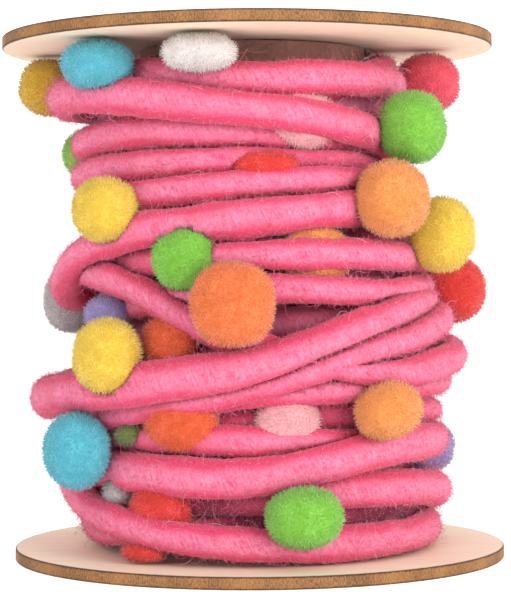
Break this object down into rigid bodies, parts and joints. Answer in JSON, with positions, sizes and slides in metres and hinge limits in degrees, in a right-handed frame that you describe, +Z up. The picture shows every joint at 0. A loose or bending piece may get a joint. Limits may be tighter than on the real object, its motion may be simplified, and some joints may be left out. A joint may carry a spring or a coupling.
{
  "type": "roll of pompom trim",
  "caption": "Felted wool cord with multicoloured clipped pompoms, wound loosely in turns on a free-standing spool of plywood discs and a cardboard core.",
  "frame": {"origin": "on the underside of the lower disc, in the middle of the part as seen from above", "axes": "+Z up along the spool's axis; -Y is the front that the reference view shows, +X its right"},
  "size_m": [0.1018, 0.1, 0.106],
  "materials": {
    "cord": "felted wool roving, matt with a soft sheen along the fibres",
    "plywood": "pale sanded birch ply with laser-browned edges",
    "cardboard": "brown kraft cardboard, matt",
    "ochre": "clipped yarn pile",
    "cyan": "clipped yarn pile",
    "white": "clipped yarn pile",
    "rose": "clipped yarn pile",
    "green": "clipped yarn pile",
    "blush": "clipped yarn pile",
    "red": "clipped yarn pile",
    "yellow": "clipped yarn pile",
    "apricot": "clipped yarn pile",
    "orange": "clipped yarn pile",
    "grey": "clipped yarn pile",
    "lavender": "clipped yarn pile",
    "red_orange": "clipped yarn pile",
    "moss": "clipped yarn pile"
  },
  "bodies": {
    "root": {"flange_bottom": "plywood", "flange_top": "plywood", "core": "cardboard", "winding": "cord", "pompom_ochre_top_left": "ochre", "pompom_cyan_top_left": "cyan", "pompom_white_top": "white", "pompom_rose_top_right": "rose", "pompom_green_right": "green", "pompom_blush_under": "blush", "pompom_red_peeking": "red", "pompom_green_left_edge": "green", "pompom_yellow_left": "yellow", "pompom_apricot_right": "apricot", "pompom_yellow_right": "yellow", "pompom_red_right": "red", "pompom_orange_under": "apricot", "pompom_green_middle": "green", "pompom_orange_large": "orange", "pompom_grey_left_edge": "grey", "pompom_lavender_left": "lavender", "pompom_yellow_left_lower": "yellow", "pompom_red_orange_left": "red_orange", "pompom_cyan_left": "cyan", "pompom_moss_peeking": "moss", "pompom_red_orange_lower": "red_orange", "pompom_mauve_peeking": "blush", "pompom_apricot_lower_right": "apricot", "pompom_lavender_right_edge": "lavender", "pompom_red_lower": "red", "pompom_grey_peeking": "grey", "pompom_green_lower": "green", "pompom_red_on_disc": "red", "pompom_yellow_back_upper": "yellow", "pompom_cyan_back_top": "cyan", "pompom_orange_back_top": "orange", "pompom_rose_back_upper": "rose", "pompom_white_back_upper": "white", "pompom_cyan_back_left": "cyan", "pompom_green_back_right": "green", "pompom_lavender_back": "lavender", "pompom_yellow_back_left": "yellow", "pompom_orange_back_right": "orange", "pompom_red_back_left": "red", "pompom_green_back_lower": "green", "pompom_apricot_back_lower": "apricot", "pompom_blush_back_lower": "blush", "pompom_yellow_back_bottom": "yellow", "pompom_white_back_bottom": "white"}
  },
  "joints": []
}
